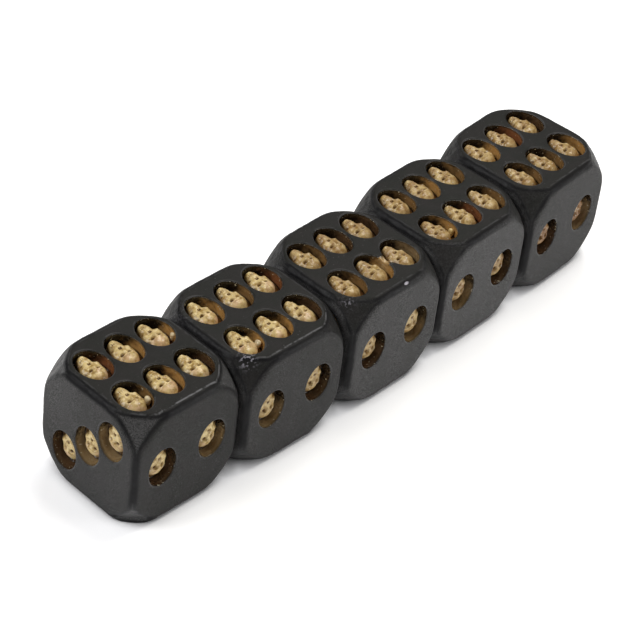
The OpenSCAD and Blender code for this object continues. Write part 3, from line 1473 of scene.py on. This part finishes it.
@dataclass
class SkullCarver:
    """Carves the skull of a pip as a closed relief, face up and chin towards +Y, in millimetres."""

    outline: tuple[tuple[float, float], ...] = (
        (-2.3, 0.0), (-2.12, 0.55), (-1.75, 1.02), (-1.2, 1.42), (-0.6, 1.64), (0.0, 1.74), (0.45, 1.74),
        (0.8, 1.56), (1.1, 1.32), (1.5, 1.16), (1.95, 1.02), (2.35, 0.88), (2.66, 0.62), (2.88, 0.0),
    )
    crest: tuple[tuple[float, float], ...] = (
        (-2.3, 0.0), (-2.15, 0.42), (-1.7, 0.92), (-1.1, 1.18), (-0.4, 1.24), (0.3, 1.12), (0.9, 1.12),
        (1.5, 1.06), (2.1, 1.06), (2.5, 0.98), (2.76, 0.62), (2.88, 0.0),
    )
    foot: float = 0.2
    columns: int = 48
    rows: int = 66
    end_crowding: float = 0.3
    arch_power: float = 0.85
    merge: float = 1e-4
    first_seed: float = 3.1
    next_seed: float = 7.7
    # Forms of the face
    brow: Relief = Relief(0.16, 0.55, 0.45, -0.70, 0.17)
    bridge: Relief = Relief(0.14, 0.0, 0.18, 0.2, 0.40)
    cheekbone: Relief = Relief(0.18, 1.15, 0.3, 0.6, 0.28)
    chin: Relief = Relief(0.10, 0.0, 0.4, 2.5, 0.18)
    cheek: Relief = Relief(-0.18, 0.95, 0.22, 1.22, 0.26, stain=0.5)
    temple: Relief = Relief(-0.14, 1.4, 0.25, -0.35, 0.35, stain=0.4)
    eye: Socket = Socket(-0.44, 0.6, 0.40, -0.35, 0.34, stain=0.5)
    pupil: Socket = Socket(0.0, 0.6, 0.30, -0.35, 0.25, stain=1.0)
    nose: Socket = Socket(-0.24, 0.12, 0.17, 0.75, 0.28, stain=0.75, reach=(1.2, 0.4), slant=0.4)
    # Mouth and teeth
    mouth_y: float = 1.86
    mouth_bend: float = 0.16
    mouth_width: float = 0.07
    mouth_ends: Span = (0.9, 0.65)
    mouth_depth: float = 0.12
    mouth_stain: float = 0.6
    teeth_reach: Span = (0.42, 0.26)
    teeth_ends: Span = (0.88, 0.62)
    teeth_height: float = 0.06
    tooth_pitch: float = 0.28
    tooth_stray: float = 0.25
    tooth_stray_scale: float = 1.1
    slit_reach: Span = (0.26, 0.02)
    slit_depth: float = 0.12
    slit_stain: float = 0.65
    wear: Span = (0.55, 0.45)
    wear_scale: float = 1.0
    wear_shift: float = 5.0
    # Casting and marks for the finish
    rough_height: float = 0.05
    rough_scales: Span = (1.4, 3.2)
    rough_fine: float = 0.6
    detail_from: Span = (0.05, 0.6)
    foot_from: Span = (0.0, 0.08)
    foot_shade: float = 0.85
    foot_shade_from: Span = (0.38, 0.08)
    crown_from: Span = (0.0, -0.9)
    flank_from: Span = (0.95, 0.45)
    flank_ahead: Span = (-0.6, 0.5)
    made: dict[int, bpy.types.Mesh] = field(default_factory=dict)

    def carved(self, x: float, y: float, seed: float) -> tuple[float, float]:
        """Raised and sunken detail of the face.

        Args:
            x: Place across the skull.
            y: Place along the skull.
            seed: Offset that makes one skull differ from the next.

        Returns:
            The change of height, and how deep in a hollow the place is, from 0 to 1.
        """
        side = abs(x)
        flat = Vector((x, y, 0.0))
        smile = y - self.mouth_y + self.mouth_bend * x * x
        worn = self.wear[0] + self.wear[1] * lump(flat, self.wear_scale, seed + self.wear_shift)
        mouth = bell(smile, self.mouth_width) * ease(side, *self.mouth_ends) * worn
        teeth = ease(abs(smile), *self.teeth_reach) * ease(side, *self.teeth_ends)
        gap = x / self.tooth_pitch + self.tooth_stray * lump(flat, self.tooth_stray_scale, seed)
        slit = ease(abs(gap % 1 - 0.5), *self.slit_reach) * teeth * worn
        rough = lumps(Vector((x, y, seed)), self.rough_scales, seed, self.rough_fine)
        height = self.teeth_height * teeth + self.rough_height * rough
        height -= self.mouth_depth * mouth + self.slit_depth * slit
        hollow = max(self.mouth_stain * mouth, self.slit_stain * slit)
        raised = (self.brow, self.bridge, self.cheekbone, self.chin)
        sunken = (self.cheek, self.temple, self.eye, self.pupil, self.nose)
        for form in raised + sunken:
            share = form.share(side, y)
            height += form.height * share
            hollow = max(hollow, form.stain * share)
        return height, hollow

    def mesh(self, variant: int) -> bpy.types.Mesh:
        """Gives one variant of the skull, carved the first time it is asked for.

        Args:
            variant: Number of the variant.

        Returns:
            A closed mesh that stands on z = 0, with marks for its hollows, crown and flanks.
        """
        if variant not in self.made:
            self.made[variant] = self._carve(variant)
        return self.made[variant]

    def _carve(self, variant: int) -> bpy.types.Mesh:
        """Carves one variant from a flat grid.

        Args:
            variant: Number of the variant.

        Returns:
            The mesh.
        """
        seed = self.first_seed + self.next_seed * variant
        bm = bmesh.new()
        for mark in ("cavity", "crown", "flank"):
            bm.verts.layers.float.new(mark)
        cavity, crown, flank = marks(bm, "cavity", "crown", "flank")
        bmesh.ops.create_grid(bm, x_segments=self.columns, y_segments=self.rows, size=1.0)
        back, tip = self.outline[0][0], self.outline[-1][0]
        for vert in bm.verts:
            across = math.sin(vert.co.x * math.pi / 2)
            crowded = math.sin(vert.co.y * math.pi / 2)
            along = (1 - self.end_crowding) * vert.co.y + self.end_crowding * crowded
            y = (back + tip) / 2 + along * (tip - back) / 2
            x = across * follow(self.outline, y)
            arch = math.sqrt(max(0.0, 1 - across**2)) ** self.arch_power
            rise = arch * follow(self.crest, y)
            detail, hollow = self.carved(x, y, seed)
            clear = ease(rise, *self.detail_from)
            vert.co = (x, y, self.foot * ease(rise, *self.foot_from) + rise + detail * clear)
            # Painted shade: the skull is darkened towards its foot, where it meets its pad
            vert[cavity] = max(hollow * clear, self.foot_shade * ease(rise, *self.foot_shade_from))
            vert[crown] = ease(y, *self.crown_from)
            vert[flank] = ease(rise, *self.flank_from) * ease(y, *self.flank_ahead)
        bmesh.ops.remove_doubles(bm, verts=bm.verts, dist=self.merge)
        rim = [edge for edge in bm.edges if edge.is_boundary]
        bmesh.ops.edgeloop_fill(bm, edges=rim)
        bmesh.ops.recalc_face_normals(bm, faces=bm.faces)
        mesh = bpy.data.meshes.new(f"skull_{variant}")
        bm.to_mesh(mesh)
        bm.free()
        return mesh


@dataclass
class SkullInlays:
    """The skulls that lie in the wells of one face of a die."""

    place: DiePlace
    sizes: DieSizes
    look: DieLook
    face: Face
    carver: SkullCarver
    finish: bpy.types.Material
    pad_gap: float = 0.22
    pad_height: float = 0.2
    pad_taper: float = 0.94
    pad_segments: int = 56
    pad_shade: float = 0.55
    variants: int = 6
    die_draws: int = 100
    most_turn: float = 4.0
    most_lean: float = 3.0
    shift_across: Span = (-0.06, 0.06)
    shift_along: Span = (-0.1, 0.16)
    sunk_in_pad: float = 0.12
    widths: Span = (0.97, 1.02)
    lengths: Span = (0.98, 1.02)
    heights: Span = (0.95, 1.04)
    wash_spread: float = 0.2
    side_sink: float = 0.8
    side_fill: float = 0.75

    def build(self) -> bpy.types.Object:
        """Builds the skulls and puts them on the die's CAD body.

        Returns:
            The finished piece.
        """
        bm = bmesh.new()
        for mark in ("cavity", "crown", "flank", "wash", "bleach"):
            bm.verts.layers.float.new(mark)
        draw = random.Random(self.die_draws * self.place.number + self.face.pips)
        floor = self.sizes.half - self.sizes.well_depth
        for index, (x, y) in enumerate(self.sizes.pip_places(self.face)):
            at = self.face.turn().to_4x4() @ Matrix.Translation((x, y, floor))
            self._pad(bm, at)
            self._skull(bm, at, index, draw)
            for bead in self.look.beads:
                if self.face is Face.SIX and bead.pip == index:
                    self._bead(bm, at, bead)
        bmesh.ops.transform(bm, matrix=self.place.matrix(), verts=bm.verts)
        number = self.place.number
        piece = new_piece(bm, f"die_{number}_carved_{self.face.word}", self.finish)
        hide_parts(f"die_{number}_skulls_{self.face.word}")
        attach(piece, f"die_{number}")
        return piece

    def _pad(self, bm: bmesh.types.BMesh, at: Matrix) -> None:
        """Lays the oval pad on a well's floor.

        Args:
            bm: The bmesh.
            at: Place of the well's floor on the die.
        """
        (cavity,) = marks(bm, "cavity")
        width = self.sizes.well_width / 2 - self.pad_gap
        length = self.sizes.well_length / 2 - self.pad_gap
        oval = Matrix.Diagonal((width, length, self.pad_height, 1.0)) @ Matrix.Translation((0, 0, 0.5))
        made = bmesh.ops.create_cone(
            bm,
            cap_ends=True,
            segments=self.pad_segments,
            radius1=1.0,
            radius2=self.pad_taper,
            depth=1.0,
            matrix=at @ oval,
        )["verts"]
        for vert in made:
            # Painted shade: the pad on the well's floor is darkened in the hollows' colours
            vert[cavity] = self.pad_shade

    def _skull(self, bm: bmesh.types.BMesh, at: Matrix, index: int, draw: random.Random) -> None:
        """Lays one skull on its pad, a little askew as it was cast.

        Args:
            bm: The bmesh.
            at: Place of the well's floor on the die.
            index: Number of the pip on the face.
            draw: Random draws of this face.
        """
        before = set(bm.verts)
        bm.from_mesh(self.carver.mesh((index + self.face.pips) % self.variants))
        added = [vert for vert in bm.verts if vert not in before]
        on_top = self.face is Face.SIX
        turn = Matrix.Rotation(math.radians(draw.uniform(-self.most_turn, self.most_turn)), 4, "Z")
        lean = Matrix.Rotation(math.radians(draw.uniform(-self.most_lean, self.most_lean)), 4, "Y")
        across, along = draw.uniform(*self.shift_across), draw.uniform(*self.shift_along)
        shift = Matrix.Translation((across, along, self.pad_height - self.sunk_in_pad))
        width, length = draw.uniform(*self.widths), draw.uniform(*self.lengths)
        height = draw.uniform(*self.heights) * (1.0 if on_top else self.side_sink)
        size = Matrix.Diagonal((width, length, height, 1.0))
        bmesh.ops.transform(bm, matrix=at @ shift @ turn @ lean @ size, verts=added)
        wash, cavity = marks(bm, "wash", "cavity")
        # Side skulls are darkened with painted shade as well as stain
        wash_and_shade_level = self.look.top_wash if on_top else self.look.side_wash_and_shade
        wash_and_shade_level += draw.uniform(-self.wash_spread, self.wash_spread)
        for vert in added:
            vert[wash] = wash_and_shade_level
            if not on_top:
                vert[cavity] *= self.side_fill

    def _bead(self, bm: bmesh.types.BMesh, at: Matrix, bead: Bead) -> None:
        """Sets a run bead between a skull and the wall of its well, with a stem down to the pad.

        Args:
            bm: The bmesh.
            at: Place of the well's floor on the die.
            bead: The bead.
        """
        (bleach,) = marks(bm, "bleach")
        lump_at = Matrix.Translation((*bead.spot, bead.height)) @ Matrix.Diagonal((*bead.size, 1.0))
        made = bmesh.ops.create_icosphere(bm, subdivisions=3, radius=1.0, matrix=lump_at)["verts"]
        stem = (bead.height - bead.stem_foot) / bead.size[2]
        for vert in made:
            swell = 1 + bead.uneven * lump(vert.co, bead.uneven_scale, self.place.number)
            vert.co = lump_at @ ((lump_at.inverted() @ vert.co) * swell)
            vert[bleach] = bead.bleach
            if vert.co.z < bead.height:
                vert.co.z = bead.height - (bead.height - vert.co.z) * stem
        bmesh.ops.transform(bm, matrix=at, verts=made)


@dataclass(frozen=True)
class SoftBox:
    """A soft studio light: where it hangs in metres, its power in watts, tint and side."""

    name: str
    spot: tuple[float, float, float]
    power: float
    tint: Colour = (1.0, 1.0, 1.0)
    side: float = 0.25

    def hang(self, aim: Vector) -> None:
        """Hangs the light.

        Args:
            aim: Point that it shines at.
        """
        lamp = bpy.data.lights.new(self.name, "AREA")
        lamp.shape = "SQUARE"
        lamp.size = self.side
        lamp.energy = self.power
        lamp.color = self.tint
        holder = bpy.data.objects.new(self.name, lamp)
        holder.location = self.spot
        holder.rotation_euler = (aim - Vector(self.spot)).to_track_quat("-Z", "Y").to_euler()
        bpy.context.scene.collection.objects.link(holder)


@dataclass(frozen=True)
class Studio:
    """The floor, lights and camera round the dice."""

    azimuth: float = -50.61
    elevation: float = 39.655
    roll: float = 7.424
    distance: float = 0.34362
    lens: float = 144.2
    sensor: float = 36.0
    near_clip: float = 0.01
    aim: tuple[float, float, float] = (-0.005259, -0.000793, 0.009)
    floor_half: float = 1.5
    floor_cells: int = 8
    ambient: Colour = (0.04, 0.04, 0.041)
    lights: tuple[SoftBox, ...] = (
        SoftBox("overhead", (0.200, -0.001, 0.573), 1.58, (1.0, 0.965, 0.88)),
        SoftBox("back_left", (-0.373, 0.211, 0.433), 1.75),
        SoftBox("back_right", (0.320, 0.272, 0.433), 0.83),
        SoftBox("front_right", (0.318, -0.463, 0.214), 1.12),
    )

    def build(self) -> None:
        """Lays the floor, hangs the lights, and sets the camera."""
        self._floor()
        for light in self.lights:
            light.hang(Vector(self.aim))
        world = bpy.data.worlds.new("studio")
        world.use_nodes = True
        world.node_tree.nodes["Background"].inputs["Color"].default_value = (*self.ambient, 1.0)
        bpy.context.scene.world = world
        bpy.context.scene.view_settings.view_transform = "Standard"
        self._camera()

    def _floor(self) -> None:
        """Lays the pale floor."""
        bm = bmesh.new()
        cells = self.floor_cells
        bmesh.ops.create_grid(bm, x_segments=cells, y_segments=cells, size=self.floor_half)
        floor = new_piece(bm, "floor", FloorFinish().material())

    def _camera(self) -> None:
        """Sets the camera at the photograph's angle."""
        around, up = math.radians(self.azimuth), math.radians(self.elevation)
        back = Vector((math.sin(around) * math.cos(up), -math.cos(around) * math.cos(up), math.sin(up)))
        turn = back.to_track_quat("Z", "Y").to_matrix() @ Matrix.Rotation(math.radians(self.roll), 3, "Z")
        lens = bpy.data.cameras.new("camera")
        lens.lens = self.lens
        lens.sensor_width = self.sensor
        lens.clip_start = self.near_clip
        camera = bpy.data.objects.new("camera", lens)
        camera.matrix_world = Matrix.Translation(Vector(self.aim) + back * self.distance) @ turn.to_4x4()
        bpy.context.scene.collection.objects.link(camera)
        bpy.context.scene.camera = camera


def main() -> None:
    """Builds the dice in order, then the studio."""
    logging.basicConfig(level=logging.INFO)
    sizes = DieSizes()
    resin = ResinFinish().material(sizes)
    bone = BoneFinish().material()
    carver = SkullCarver()
    for number, look in enumerate(LOOKS, start=1):
        place = DiePlace.from_frame(number)
        pieces = [DieBody(place, sizes, look, resin).build()]
        for face in Face:
            pieces.append(SkullInlays(place, sizes, look, face, carver, bone).build())
        for piece in pieces:
            LOG.info("made %s with %d faces", piece.name, len(piece.data.polygons))
    Studio().build()


if __name__ == "__main__":
    main()
